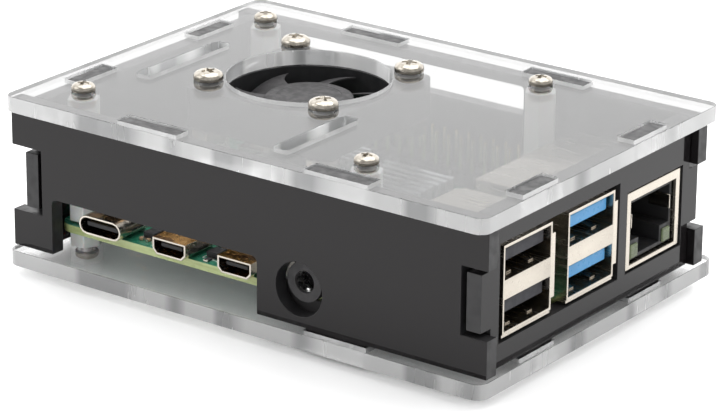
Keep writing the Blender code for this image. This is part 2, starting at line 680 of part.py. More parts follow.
def build_pin_header():
    """Two rows of twenty square pins standing in a black base."""
    pitch, columns, rows, pin, foot, base_h, top = 2.54, 20, 2, 0.64, GAP, 2.5, 8.5
    bm = bmesh.new()
    xs = [(i - columns / 2) * pitch * MM for i in range(columns + 1)]
    ys = [(j - rows / 2) * pitch * MM for j in range(rows + 1)]
    grid = {(i, j): bm.verts.new((x, y, base_h * MM))
            for i, x in enumerate(xs) for j, y in enumerate(ys)}
    cells = [bm.faces.new((grid[i, j], grid[i + 1, j], grid[i + 1, j + 1], grid[i, j + 1]))
             for i in range(columns) for j in range(rows)]
    skirt = bmesh.ops.extrude_edge_only(bm, edges=[e for e in bm.edges if e.is_boundary])
    lower = [v for v in skirt["geom"] if isinstance(v, bmesh.types.BMVert)]
    bmesh.ops.translate(bm, verts=lower, vec=(0, 0, -base_h * MM))
    bmesh.ops.holes_fill(bm, edges=[e for e in bm.edges if e.is_boundary])
    bmesh.ops.inset_individual(bm, faces=cells, thickness=(pitch - pin) / 2 * MM)
    pins = bmesh.ops.extrude_discrete_faces(bm, faces=cells)["faces"]
    for face in pins:
        bmesh.ops.translate(bm, verts=face.verts, vec=(0, 0, (top - base_h) * MM))
    bmesh.ops.remove_doubles(bm, verts=bm.verts, dist=1e-7)
    header = add_object("gpio_header", bm, "black_plastic")
    header.location = at(32.5, 52.5, foot)


def ribbon_connector(name, x, y):
    """A flat-cable connector: a socket body and the latch that clamps the cable."""
    half_x, half_y, top = 2.1, 10.9, 4.4
    socket = box(f"{name}_connector", (x - half_x, x + half_x), (y - half_y, y + half_y),
                 (GAP, top), "ivory_plastic", bevel=0.15)
    slit = box(f"{name}_slit", (x - 0.2, x + 1.0), (y - 8.2, y + 8.2), (1.2, top + 1), None)
    subtract(socket, slit)
    latch = box(f"{name}_latch", (x - 1.6, x + 1.9), (y - half_y, y + half_y),
                (top + GAP, top + 1.45), "black_plastic")
    blade = box(f"{name}_latch_blade", (x + 0.05, x + 0.6), (y - 7.9, y + 7.9),
                (2.4, top + 0.6), None)
    add(latch, blade)


def build_card_slot():
    """The memory card and its socket, under the left edge of the board."""
    top, base = -BOARD_T - GAP, -3.6
    socket = box("card_socket", (1.2, 15.6), (CARD_Y - 7.0, CARD_Y + 7.0), (base, top),
                 "nickel_shell")
    slot = box("card_socket_space", (0.0, 14.6), (CARD_Y - 5.8, CARD_Y + 5.8),
               (base + 0.3, top - 0.3), None)
    subtract(socket, slot)
    w = 5.5
    outline = [(-2.2, -w), (12.0, -w), (12.8, -w + 0.8), (12.8, w - 2.2), (11.3, w - 0.7),
               (7.4, w - 0.7), (6.9, w), (-2.2, w)]
    cut_sheet("memory_card", outline, [], 0.8, "chip_resin", place=(0, CARD_Y, base + 0.5))


def main():
    clear_scene()
    MATERIALS.update(make_materials())
    build_plates()
    build_front_wall()
    build_back_wall()
    build_side_walls()
    build_corner_hardware()
    build_fan_frame()
    build_fan_rotor()
    build_fan_stator()
    build_fan_fasteners()
    build_board()
    build_chips()
    build_heatsinks()
    build_usb_stacks()
    build_ethernet_jack()
    build_front_sockets()
    build_audio_jack()
    build_pin_header()
    ribbon_connector("display", 4.0, 28.0)
    ribbon_connector("camera", 46.0, 11.8)
    build_card_slot()


main()
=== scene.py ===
"""Looks of the single board computer in its acrylic case.

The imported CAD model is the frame.  This script gives every piece its finish,
rebuilds the pieces whose surface needs more than flat facets, adds the small
parts soldered to the board, and sets the studio: floor, light and camera.

Places on the board are millimetres on the board's own grid, which at() turns
into the frame: X from the board's left edge to its USB end, Y from its front
edge to its pin-header edge, Z up from its upper face.
"""
import json
import math
import random

import bmesh
import bpy
from mathutils import Matrix, Vector


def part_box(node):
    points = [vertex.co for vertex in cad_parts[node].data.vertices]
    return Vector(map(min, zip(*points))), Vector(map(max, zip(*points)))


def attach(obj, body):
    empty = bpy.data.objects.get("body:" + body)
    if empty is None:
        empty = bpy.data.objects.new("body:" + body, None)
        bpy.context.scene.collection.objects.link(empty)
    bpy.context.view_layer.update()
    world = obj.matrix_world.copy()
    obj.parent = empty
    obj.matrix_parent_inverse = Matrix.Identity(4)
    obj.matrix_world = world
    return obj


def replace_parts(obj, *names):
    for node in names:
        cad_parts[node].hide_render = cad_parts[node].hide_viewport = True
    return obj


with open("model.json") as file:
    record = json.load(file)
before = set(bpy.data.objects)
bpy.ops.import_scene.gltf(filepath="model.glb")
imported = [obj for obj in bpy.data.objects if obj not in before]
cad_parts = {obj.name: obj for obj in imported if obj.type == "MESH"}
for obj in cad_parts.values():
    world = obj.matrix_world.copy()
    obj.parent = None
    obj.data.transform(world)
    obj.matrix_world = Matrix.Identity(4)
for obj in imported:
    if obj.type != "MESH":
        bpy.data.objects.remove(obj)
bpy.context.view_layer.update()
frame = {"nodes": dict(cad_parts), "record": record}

MM = 0.001
BOARD_LOW, BOARD_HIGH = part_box("circuit_board")


def at(x, y, z):
    """A point of the board's grid, in the frame."""
    return Vector((BOARD_LOW.x + x * MM, BOARD_LOW.y + y * MM, BOARD_HIGH.z + z * MM))


def grid_box(node):
    """A node's lowest and highest corners, on the board's grid."""
    return [((corner.x - BOARD_LOW.x) / MM, (corner.y - BOARD_LOW.y) / MM,
             (corner.z - BOARD_HIGH.z) / MM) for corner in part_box(node)]


def grid_middle(node):
    """X and Y of the middle of a node's box, on the board's grid."""
    low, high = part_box(node)
    return (((low.x + high.x) / 2 - BOARD_LOW.x) / MM,
            ((low.y + high.y) / 2 - BOARD_LOW.y) / MM)


# ---- material building ---------------------------------------------------------
class Finish:
    """A material under construction: a Principled shader and the nodes that feed it."""

    def __init__(self, name, color, roughness, **sockets):
        self.material = bpy.data.materials.new(name)
        self.material.use_nodes = True
        self.tree = self.material.node_tree
        self.shader = self.tree.nodes["Principled BSDF"]
        self.set("Base Color", (*color, 1.0))
        self.set("Roughness", roughness)
        for socket, value in sockets.items():
            self.set(socket.replace("_", " "), value)
        self.place = self.node("ShaderNodeTexCoord").outputs["Object"]

    def set(self, socket, value):
        self.shader.inputs[socket].default_value = value

    def node(self, kind, **values):
        made = self.tree.nodes.new(kind)
        for key, value in values.items():
            setattr(made, key, value)
        return made

    def wire(self, output, entry):
        self.tree.links.new(output, entry)

    def math(self, operation, first, second):
        made = self.node("ShaderNodeMath", operation=operation)
        for entry, value in zip(made.inputs, (first, second)):
            if isinstance(value, (int, float)):
                entry.default_value = value
            else:
                self.wire(value, entry)
        return made.outputs[0]

    def ramp(self, source, low, high, to_low=0.0, to_high=1.0):
        made = self.node("ShaderNodeMapRange")
        self.wire(source, made.inputs["Value"])
        for socket, value in (("From Min", low), ("From Max", high), ("To Min", to_low),
                              ("To Max", to_high)):
            made.inputs[socket].default_value = value
        return made.outputs["Result"]

    def noise(self, size_mm, stretch=(1, 1, 1), detail=3.0):
        """Noise with features of about size_mm, longer along a stretched axis."""
        mapping = self.node("ShaderNodeMapping")
        self.wire(self.place, mapping.inputs["Vector"])
        mapping.inputs["Scale"].default_value = [1 / s for s in stretch]
        made = self.node("ShaderNodeTexNoise")
        self.wire(mapping.outputs["Vector"], made.inputs["Vector"])
        made.inputs["Scale"].default_value = 1 / (size_mm * MM)
        made.inputs["Detail"].default_value = detail
        return made.outputs["Fac"]

    def across(self, axis):
        """How far the surface faces along an axis, 0 to 1 either way."""
        normal = self.node("ShaderNodeNewGeometry").outputs["Normal"]
        parts = self.node("ShaderNodeSeparateXYZ")
        self.wire(normal, parts.inputs[0])
        return self.math("ABSOLUTE", parts.outputs[axis], 0.0)

    def edge_highlight_mask(self):
        """0 on flats, rising to 1 on outward edges: the mask of painted edge highlights."""
        point = self.node("ShaderNodeNewGeometry").outputs["Pointiness"]
        return self.ramp(point, 0.505, 0.56)

    def vary_roughness(self, source, low, high, spread=(0.35, 0.65)):
        self.wire(self.ramp(source, *spread, low, high), self.shader.inputs["Roughness"])
        return self

    def vary_color(self, source, other, spread=(0.35, 0.65), amount=1.0):
        mix = self.node("ShaderNodeMix", data_type="RGBA")
        self.wire(self.ramp(source, *spread, 0.0, amount), mix.inputs[0])
        entry = self.shader.inputs["Base Color"]
        if entry.is_linked:
            self.wire(entry.links[0].from_socket, mix.inputs[6])
        else:
            mix.inputs[6].default_value = entry.default_value
        mix.inputs[7].default_value = (*other, 1.0)
        self.wire(mix.outputs[2], entry)
        return self

    def bump(self, source, depth_mm, strength=1.0):
        made = self.node("ShaderNodeBump")
        made.inputs["Distance"].default_value = depth_mm * MM
        made.inputs["Strength"].default_value = strength
        self.wire(source, made.inputs["Height"])
        entry = self.shader.inputs["Normal"]
        if entry.is_linked:
            self.wire(entry.links[0].from_socket, made.inputs["Normal"])
        self.wire(made.outputs["Normal"], entry)
        return self

    def let_lamps_through(self, share):
        """Rays from lamps pass, dimmed to a share, so that what the sheet covers is lit."""
        clear = self.node("ShaderNodeBsdfTransparent")
        clear.inputs["Color"].default_value = (share, share, share, 1.0)
        mix = self.node("ShaderNodeMixShader")
        self.wire(self.node("ShaderNodeLightPath").outputs["Is Shadow Ray"], mix.inputs[0])
        self.wire(self.shader.outputs[0], mix.inputs[1])
        self.wire(clear.outputs[0], mix.inputs[2])
        self.wire(mix.outputs[0], self.tree.nodes["Material Output"].inputs["Surface"])
        return self


def clear_acrylic(name, tint, share):
    """Cast sheet with polished faces, faintly smudged and waved."""
    made = Finish(name, (tint, tint, tint), 0.02, Transmission_Weight=1.0, IOR=1.49)
    made.vary_roughness(made.noise(9.0, detail=5.0), 0.0, 0.05)
    made.bump(made.noise(24.0, detail=1.0), 0.01)
    return made.let_lamps_through(share).material


def frosted_edge(name, white):
    """Flame-polished edge of clear sheet: milky inside, with soft upright grey bands of painted
    reflection.
    """
    made = Finish(name, (white, white, white), 0.2, Transmission_Weight=0.42, IOR=1.49)
    # painted reflection: soft upright grey bands
    made.vary_color(made.noise(11.0, stretch=(1, 1, 20), detail=1.0),
                    (white * 0.45, white * 0.455, white * 0.46), (0.49, 0.57), 0.8)
    made.vary_roughness(made.noise(3.0, stretch=(1, 1, 8)), 0.1, 0.3)
    made.bump(made.noise(0.9, stretch=(1, 1, 30), detail=1.0), 0.004)
    return made.let_lamps_through(0.85).material


def black_acrylic():
    made = Finish("black_acrylic", (0.008, 0.0068, 0.0074), 0.07, IOR=1.49,
                  Specular_IOR_Level=0.3)
    smudge = made.noise(11.0, detail=5.0)
    made.vary_roughness(smudge, 0.05, 0.11)
    made.bump(made.noise(28.0, detail=1.0), 0.02)
    made.bump(made.noise(0.12, stretch=(8, 8, 8)), 0.0004)
    return made.material


def black_edge():
    """Cut edge of black sheet: duller than its faces and ribbed by the laser."""
    made = Finish("black_edge", (0.012, 0.0115, 0.0125), 0.45)
    made.vary_roughness(made.noise(1.6), 0.34, 0.58)
    made.bump(made.noise(0.3, stretch=(1, 1, 20), detail=2.0), 0.012)
    return made.material


def sheet_metal(name, color, dark, roughness, grain=(14, 1, 1)):
    """Plated sheet: rolled grain, faint clouding and painted highlights on its outward edges."""
    made = Finish(name, color, roughness, Metallic=1.0)
    made.vary_color(made.noise(4.0, detail=2.0), dark)
    # painted highlight: outward edges brighter
    made.vary_color(made.edge_highlight_mask(), tuple(min(1.0, c * 1.25) for c in color), (0, 1), 0.7)
    made.vary_roughness(made.noise(0.6, stretch=grain), roughness * 0.8, roughness * 1.3)
    made.bump(made.noise(0.5, stretch=grain), 0.0015)
    return made.material


def shell_with_painted_roof(name, roof, streak):
    """A small socket's tinned shell, with painted reflection on its roof: its upward faces get
    their own colour and streaks.
    """
    made = Finish(name, (0.56, 0.52, 0.46), 0.2, Metallic=1.0)
    # painted reflection: faces that point up take the roof colour and its streaks
    upward = made.ramp(made.across("Z"), 0.75, 0.95)
    made.vary_color(upward, roof, (0, 1))
    streaks = made.math("MULTIPLY", upward, made.noise(2.2, stretch=(2, 1, 1), detail=2.0))
    made.vary_color(streaks, streak, (0.5, 0.62), 0.85)
    made.vary_roughness(made.noise(0.9), 0.14, 0.28)
    made.bump(made.noise(1.2, stretch=(3, 1, 1)), 0.01)
    return made.material


def screw_steel():
    made = Finish("screw_steel", (0.47, 0.435, 0.38), 0.14, Metallic=1.0)
    made.vary_color(made.noise(0.7, detail=4.0), (0.34, 0.31, 0.265))
    made.vary_roughness(made.noise(0.4), 0.09, 0.22)
    made.bump(made.noise(0.5, detail=5.0), 0.012)
    return made.material


def moulded(name, color, other, roughness, grain_mm=0.09, depth_mm=0.004, **sockets):
    """Moulded plastic: fine spark-eroded grain, uneven sheen and painted highlights that pale its
    outward edges.
    """
    made = Finish(name, color, roughness, **sockets)
    made.vary_color(made.noise(1.8, detail=4.0), other)
    # painted highlight: outward edges paler
    made.vary_color(made.edge_highlight_mask(), tuple(min(1.0, c * 1.6) for c in color), (0, 1), 0.4)
    made.vary_roughness(made.noise(1.1), roughness * 0.8, roughness * 1.25)
    made.bump(made.noise(grain_mm), depth_mm)
    return made.material


def brushed_aluminium():
    made = Finish("aluminium", (0.78, 0.8, 0.82), 0.3, Metallic=1.0)
    made.vary_color(made.noise(1.5), (0.62, 0.65, 0.68))
    made.vary_roughness(made.noise(0.12, stretch=(40, 1, 1)), 0.22, 0.45)
    made.bump(made.noise(0.08, stretch=(60, 1, 1)), 0.006)
    return made.material


def solder_mask():
    """Green mask over copper, and the pale fibre of the cut edge."""
    made = Finish("solder_mask", (0.02, 0.2, 0.115), 0.3, Coat_Weight=0.35,
                  Coat_Roughness=0.12)
    made.vary_color(made.noise(3.0, detail=6.0), (0.08, 0.34, 0.22))
    made.vary_color(made.noise(0.28, detail=1.0), (0.02, 0.2, 0.12), amount=0.5)
    edge = made.ramp(made.across("Z"), 0.3, 0.6, 1.0, 0.0)
    made.vary_color(edge, (0.52, 0.6, 0.27), (0, 1), 0.95)
    fibre = made.math("MULTIPLY", edge, made.noise(0.5, stretch=(6, 6, 1)))
    made.vary_color(fibre, (0.34, 0.4, 0.15), (0.4, 0.7), 0.7)
    made.vary_roughness(made.noise(2.0), 0.24, 0.42)
    made.bump(made.noise(0.3, detail=2.0), 0.008)
    return made.material


def wound_copper():
    made = Finish("copper_coil", (0.55, 0.2, 0.07), 0.3, Metallic=1.0)
    wire = made.node("ShaderNodeTexWave", wave_type="BANDS", bands_direction="Z")
    made.wire(made.place, wire.inputs["Vector"])
    wire.inputs["Scale"].default_value = 1500.0
    made.bump(wire.outputs["Fac"], 0.06)
    made.vary_roughness(made.noise(0.5), 0.2, 0.45)
    made.vary_color(made.noise(1.0), (0.38, 0.12, 0.04))
    return made.material


MATERIALS = {
    "clear_acrylic": clear_acrylic("clear_acrylic", 0.93, 0.88),
    # a darker copy of the clear sheet for the lid: painted shade over all it covers
    "shaded_lid_acrylic": clear_acrylic("shaded_lid_acrylic", 0.45, 0.72),
    # lit and shaded copies of one edge finish: painted light in the lid's openings, painted shade
    # on the base's edges
    "lid_edge": frosted_edge("lid_edge", 0.74),
    "base_edge_painted_shade": frosted_edge("base_edge_painted_shade", 0.65),
    "opening_edge_painted_light": frosted_edge("opening_edge_painted_light", 0.98),
    "black_acrylic": black_acrylic(),
    "black_edge": black_edge(),
    "nickel_shell": sheet_metal("nickel_shell", (0.5, 0.46, 0.4), (0.42, 0.38, 0.33), 0.22),
    # the roof colours and streaks of these two shells are painted reflection
    "amber_roof_painted_shell": shell_with_painted_roof("amber_roof_painted_shell", (0.7, 0.37, 0.1), (0.2, 0.09, 0.03)),
    "brown_roof_painted_shell": shell_with_painted_roof("brown_roof_painted_shell", (0.12, 0.08, 0.05), (0.4, 0.24, 0.1)),
    "screw_steel": screw_steel(),
    "bright_tin": sheet_metal("bright_tin", (0.8, 0.8, 0.79), (0.62, 0.62, 0.62), 0.25,
                              (1, 1, 1)),
    "gold_plate": sheet_metal("gold_plate", (0.9, 0.62, 0.24), (0.78, 0.5, 0.17), 0.2,
                              (1, 1, 3)),
    "aluminium": brushed_aluminium(),
    "copper_coil": wound_copper(),
    "circuit_board": solder_mask(),
    "copper_trace": moulded("copper_trace", (0.03, 0.27, 0.14), (0.02, 0.22, 0.115), 0.3),
    "silk_print": moulded("silk_print", (0.75, 0.77, 0.74), (0.66, 0.68, 0.65), 0.6),
    "chip_resin": moulded("chip_resin", (0.02, 0.02, 0.022), (0.032, 0.032, 0.034), 0.5),
    "black_plastic": moulded("black_plastic", (0.014, 0.014, 0.015), (0.02, 0.02, 0.021),
                             0.42, Specular_IOR_Level=0.3),
    "fan_plastic": moulded("fan_plastic", (0.03, 0.029, 0.03), (0.038, 0.036, 0.038), 0.55,
                           Specular_IOR_Level=0.3),
    "grey_plastic": moulded("grey_plastic", (0.018, 0.018, 0.023), (0.026, 0.026, 0.032), 0.45,
                            Specular_IOR_Level=0.25),
    "blue_plastic": moulded("blue_plastic", (0.03, 0.2, 0.42), (0.042, 0.235, 0.46), 0.32),
    "white_nylon": moulded("white_nylon", (0.7, 0.7, 0.68), (0.62, 0.62, 0.6), 0.42,
                           0.25, 0.006, Subsurface_Weight=0.25, Subsurface_Scale=0.002),
    "ivory_plastic": moulded("ivory_plastic", (0.78, 0.74, 0.64), (0.7, 0.66, 0.56), 0.45),
    "capacitor": moulded("capacitor", (0.42, 0.28, 0.16), (0.3, 0.2, 0.11), 0.45),
    "resistor": moulded("resistor", (0.025, 0.025, 0.03), (0.05, 0.05, 0.055), 0.4),
    "lamp_lens": moulded("lamp_lens", (0.13, 0.17, 0.07), (0.08, 0.1, 0.05), 0.22,
                         Transmission_Weight=0.4),
}


# ---- mesh building ---------------------------------------------------------------
def mesh_object(name, bm):
    """A new object in the scene with this mesh, its faces turned outwards."""
    bmesh.ops.recalc_face_normals(bm, faces=bm.faces)
    mesh = bpy.data.meshes.new(name)
    bm.to_mesh(mesh)
    bm.free()
    obj = bpy.data.objects.new(name, mesh)
    bpy.context.scene.collection.objects.link(obj)
    return obj


def add_piece(name, bm, material, body="case", smooth_below=28):
    """A finished mesh as a piece of the object, riding on a body."""
    obj = mesh_object(name, bm)
    obj.data.shade_smooth()
    obj.data.set_sharp_from_angle(angle=math.radians(smooth_below))
    obj.data.materials.append(MATERIALS[material])
    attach(obj, body)
    return obj


def slot_of(node):
    rows = frame["record"]["subparts"]
    return next(row["material_slot"] for row in rows if row["node"] == node)


def body_of(node):
    groups = frame["record"]["behaviour"]["bodies"]
    return next(body for body, nodes in groups.items() if node in nodes)


def refined(node, edge_mm, material=None, weld_mm=0.002):
    """The CAD node's own shape with its sharp edges rounded by edge_mm."""
    bm = bmesh.new()
    bm.from_mesh(frame["nodes"][node].data)
    bmesh.ops.remove_doubles(bm, verts=bm.verts, dist=weld_mm * MM)
    bmesh.ops.dissolve_limit(bm, angle_limit=math.radians(0.5), verts=bm.verts,
                             edges=bm.edges)
    sharp = [e for e in bm.edges if e.calc_face_angle(0.0) > math.radians(35)]
    bmesh.ops.bevel(bm, geom=sharp, offset=edge_mm * MM, segments=2, profile=0.5,
                    affect="EDGES", clamp_overlap=True)
    slot = slot_of(node)
    piece = add_piece(node + "_finished", bm, material or slot, body_of(node), 80)
    even = piece.modifiers.new("even_normals", "WEIGHTED_NORMAL")
    even.keep_sharp = True
    even.weight = 100
    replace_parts(piece, node)
    return piece


def carve(obj, *cutters):
    """Cuts the cutters' shapes out of a piece for good, and removes the cutters."""
    for cutter in cutters:
        mod = obj.modifiers.new("carve", "BOOLEAN")
        mod.object, mod.operation, mod.solver = cutter, "DIFFERENCE", "EXACT"
    bpy.context.view_layer.update()
    depsgraph = bpy.context.evaluated_depsgraph_get()
    obj.data = bpy.data.meshes.new_from_object(obj.evaluated_get(depsgraph))
    obj.modifiers.clear()
    for cutter in cutters:
        bpy.data.objects.remove(cutter)


def block(bm, x, y, z, bevel=0.0):
    """A block between pairs of grid coordinates, added to bm, its edges broken."""
    low, high = at(x[0], y[0], z[0]), at(x[1], y[1], z[1])
    size = high - low
    matrix = Matrix.Translation((low + high) / 2) @ Matrix.Diagonal((*size, 1.0))
    made = bmesh.ops.create_cube(bm, size=1.0, matrix=matrix)
    if bevel:
        edges = list(dict.fromkeys(e for v in made["verts"] for e in v.link_edges))
        bmesh.ops.bevel(bm, geom=edges, offset=bevel * MM, segments=1, affect="EDGES",
                        profile=0.5)


def lathe(bm, profile, steps, centre):
    """A solid turned about Z: (radius, height) pairs in mm, both ends on the axis."""
    place = Matrix.Translation(centre)
    rings = []
    for radius, height in profile:
        count = steps if radius > 0 else 1
        ring = []
        for i in range(count):
            a = 2 * math.pi * i / steps
            ring.append(bm.verts.new(place @ Vector((radius * math.cos(a) * MM,
                                                     radius * math.sin(a) * MM,
                                                     height * MM))))
        rings.append(ring)
    for low, high in zip(rings, rings[1:]):
        for i in range(steps):
            quad = [low[i % len(low)], low[(i + 1) % len(low)],
                    high[(i + 1) % len(high)], high[i % len(high)]]
            bm.faces.new(list(dict.fromkeys(quad)))


# ---- the sheets ------------------------------------------------------------------
X, Y, Z = range(3)
WALLS = {"front_wall": Y, "back_wall": Y, "left_wall": X, "right_wall": X}    # and their axes
PLATE_ROUNDING, WALL_ROUNDING = 0.12, 0.1
LID_RIM = 0.5 * MM                # cut faces further in than this belong to openings
FACING = 0.6                      # of the normal along a sheet's axis: less is a cut face


def finish_cut_edges(piece, axis, material):
    """Gives the cut faces of a sheet, which don't face along its axis, their own finish."""
    piece.data.materials.append(MATERIALS[material])
    for face in piece.data.polygons:
        if abs(face.normal[axis]) < FACING:
            face.material_index = 1


def finish_lid_openings(lid):
    """The cut faces of the lid's openings get a brighter copy of the edge finish: painted light.
    """
    lid.data.materials.append(MATERIALS["opening_edge_painted_light"])
    low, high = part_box("top_plate")
    for face in lid.data.polygons:
        inside = all(low[i] + LID_RIM < face.center[i] < high[i] - LID_RIM for i in (X, Y))
        if face.material_index == 1 and inside:
            face.material_index = 2


def finish_sheets():
    lid = refined("top_plate", PLATE_ROUNDING, "shaded_lid_acrylic")
    finish_cut_edges(lid, Z, "lid_edge")
    finish_lid_openings(lid)
    base = refined("bottom_plate", PLATE_ROUNDING, "clear_acrylic")
    finish_cut_edges(base, Z, "base_edge_painted_shade")
    for node, axis in WALLS.items():
        finish_cut_edges(refined(node, WALL_ROUNDING), axis, "black_edge")


# ---- fasteners -------------------------------------------------------------------
THREAD_DEPTH = 0.22
CROSS_ARM, CROSS_WIDTH = 0.58, 0.19      # of the head's radius
SCREWS = {                                # rows: head height, shaft radius, pitch
    "lid_screw": (1.4, 1.15, 0.45),
    "base_screw": (1.4, 1.15, 0.45),
    "fan_screw": (1.6, 1.4, 0.5),
}


def pan_head_profile(head_r, head_h):
    """A pan head: a short upright rim, a tight shoulder and a gently domed crown."""
    rim, power, steps = head_h * 0.24, 2.7, 12
    points = [(head_r * 0.95, 0.0), (head_r, rim * 0.3), (head_r, rim)]
    for i in range(1, steps):
        a = math.pi / 2 * i / steps
        points.append((head_r * math.cos(a) ** (2 / power),
                       rim + (head_h - rim) * math.sin(a) ** (2 / power)))
    return points + [(0.0, head_h)]


def thread_profile(shaft_r, length, pitch):
    """Ridges along the shaft, from its tip up to the head."""
    points = [(0.0, -length), (shaft_r * 0.7, -length)]
    for i in range(int((length - 0.6) / pitch)):
        low = -length + 0.25 + i * pitch
        points += [(shaft_r - THREAD_DEPTH, low), (shaft_r, low + pitch / 2)]
    return points + [(shaft_r - THREAD_DEPTH, -0.2), (shaft_r - THREAD_DEPTH, 0.0)]


def cross_wedge(head_r, head_h, along_x):
    """One arm pair of a cross recess, narrowing as it goes down."""
    top, floor = head_h + 0.4, head_h * 0.36
    bm = bmesh.new()
    rings = []
    for z, reach, half in ((floor, 0.2, 0.09), (top, CROSS_ARM * 1.15, CROSS_WIDTH)):
        ring = []
        for sx, sy in ((1, 1), (-1, 1), (-1, -1), (1, -1)):
            x, y = sx * reach * head_r, sy * half * head_r
            ring.append(bm.verts.new(Vector((x, y, z) if along_x else (y, -x, z)) * MM))
        rings.append(ring)
    bm.faces.new(rings[0])
    bm.faces.new(rings[1])
    for i in range(4):
        j = (i + 1) % 4
        bm.faces.new((rings[0][i], rings[0][j], rings[1][j], rings[1][i]))
    return mesh_object("cross_wedge", bm)


def finish_screws():
    """Round-headed, threaded screws in place of the faceted ones."""
    turns = random.Random(4)
    for kind, (head_h, shaft_r, pitch) in SCREWS.items():
        flipped = kind == "base_screw"
        first = None
        for number in range(1, 5):
            node = f"{kind}_{number}"
            low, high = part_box(node)
            length = (high.z - low.z) / MM - head_h
            head_r = (high.y - low.y) / MM / 2
            if first is None:
                bm = bmesh.new()
                profile = thread_profile(shaft_r, length, pitch)
                lathe(bm, profile + pan_head_profile(head_r, head_h), 40, Vector())
                piece = add_piece(node + "_finished", bm, "screw_steel")
                carve(piece, cross_wedge(head_r, head_h, True),
                      cross_wedge(head_r, head_h, False))
                piece.data.set_sharp_from_angle(angle=math.radians(32))
                first = piece
            else:
                piece = bpy.data.objects.new(node + "_finished", first.data)
                bpy.context.scene.collection.objects.link(piece)
            middle = (low + high) / 2
            seat = low.z + head_h * MM if flipped else high.z - head_h * MM
            piece.location = (middle.x, middle.y, seat)
            tilt = math.pi if flipped else 0.0
            piece.rotation_euler = (tilt, 0.0, turns.uniform(0.0, math.pi / 2))
            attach(piece, "case")
            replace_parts(piece, node)


def finish_nylon_and_nuts():
    for number in range(1, 5):
        refined(f"standoff_{number}", 0.25)
        refined(f"spacer_{number}", 0.2)
        refined(f"fan_nut_{number}", 0.3)


# ---- the fan ---------------------------------------------------------------------
FAN_LOW, FAN_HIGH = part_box("fan_frame")
FAN_CENTRE = (FAN_LOW + FAN_HIGH) / 2
ROTOR_LOW, ROTOR_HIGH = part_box("fan_rotor")
HUB_R, TIP_R, BLADES = 7.6, 13.5, 7


def fan_blade(bm, turn, low, high):
    """A swept, twisted blade with a rounded outline, as a closed thin shell."""
    spans, chords, sweep = 8, 10, math.radians(45)
    root = HUB_R - 0.6
    grid = {}
    for side in (-1, 1):
        for i in range(spans + 1):
            u = i / spans
            radius = root + (TIP_R - root) * u
            for j in range(chords + 1):
                v = j / chords
                angle = turn + sweep * v - math.radians(12) * u * u
                thick = 0.1 + 0.45 * math.sin(math.pi * (0.08 + 0.84 * v))
                z = high - 0.5 + (low - high + 0.8) * v + 0.5 * math.sin(math.pi * v)
                grid[side, i, j] = bm.verts.new(Vector((
                    radius * math.cos(angle), radius * math.sin(angle),
                    z + side * thick / 2)) * MM)
    for side in (-1, 1):
        for i in range(spans):
            for j in range(chords):
                bm.faces.new((grid[side, i, j], grid[side, i + 1, j],
                              grid[side, i + 1, j + 1], grid[side, i, j + 1]))
    rim = [(i, 0) for i in range(spans)] + [(spans, j) for j in range(chords)]
    rim += [(i, chords) for i in range(spans, 0, -1)] + [(0, j) for j in range(chords, 0, -1)]
    for a, b in zip(rim, rim[1:] + rim[:1]):
        bm.faces.new((grid[-1, *a], grid[-1, *b], grid[1, *b], grid[1, *a]))


def finish_fan():
    refined("fan_frame", 0.25)
    low = (ROTOR_LOW.z - FAN_CENTRE.z) / MM
    high = (ROTOR_HIGH.z - FAN_CENTRE.z) / MM
    bm = bmesh.new()
    lathe(bm, [(0, high - 1.0), (6.6, high - 1.0), (6.7, low), (HUB_R, low),
               (HUB_R, high - 0.7), (HUB_R - 0.2, high - 0.25), (HUB_R - 0.7, high),
               (5.6, high), (5.5, high - 0.06), (0, high - 0.06)], 64, Vector())
    rotor = add_piece("fan_rotor_finished", bm, "fan_plastic", "fan_wheel")
    bm = bmesh.new()
    for i in range(BLADES):
        fan_blade(bm, 2 * math.pi * i / BLADES, low, high)
    blades = add_piece("fan_blades", bm, "fan_plastic", "fan_wheel", 50)
    for piece in (rotor, blades):
        piece.location = FAN_CENTRE
        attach(piece, "fan_wheel")
    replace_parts(rotor, "fan_rotor")


# ---- sockets on the right --------------------------------------------------------
PORT_ROOFS = (6.5, 15.05)               # height of each port's roof over the board
PORT_HEIGHT = 5.2
TONGUE_DROP = 2.75                      # from a port's roof to its tongue's lower face
INSERT_HALF, WELL_HALF, TONGUE_HALF = 6.2, 6.05, 5.7      # half widths
WELL_END, TONGUE_ROOT = 76.0, 75.5      # where a port's rear well ends, its tongue starts
SPRING_OFFSET = 3.1                     # of a port's springs from its middle
COVER_GAP, COVER_OUT = 0.01, 0.18       # inner and outer side of the rear cover's sheet
COVER_WRAP = 0.93                       # how far that cover reaches over the insert
SLIT_HALF = 0.09
LAMP_OFFSET, LAMP_HALF = 4.9, 1.15
SIDE_SPRING_OFFSET = 5.82
NETWORK_WIRES, NETWORK_PITCH = 8, 1.02


def bent_spring(bm, x0, x1, y, half, z, bow):
    """A leaf spring along X at height z, bowed up by bow, or down if that is negative."""
    steps, thick = 8, 0.18 if bow > 0 else -0.18
    rows = []
    for i in range(steps + 1):
        t = i / steps
        x = x0 + (x1 - x0) * t
        lift = bow * math.sin(math.pi * min(1.0, t * 1.25))
        rows.append([bm.verts.new(at(x, y + sy * half, z + lift + dz))
                     for dz in (0, thick) for sy in (-1, 1)])
    for a, b in zip(rows, rows[1:]):
        for i, j in ((0, 1), (1, 3), (3, 2), (2, 0)):
            bm.faces.new((a[i], a[j], b[j], b[i]))
    for row in (rows[0], rows[-1]):
        bm.faces.new((row[0], row[1], row[3], row[2]))


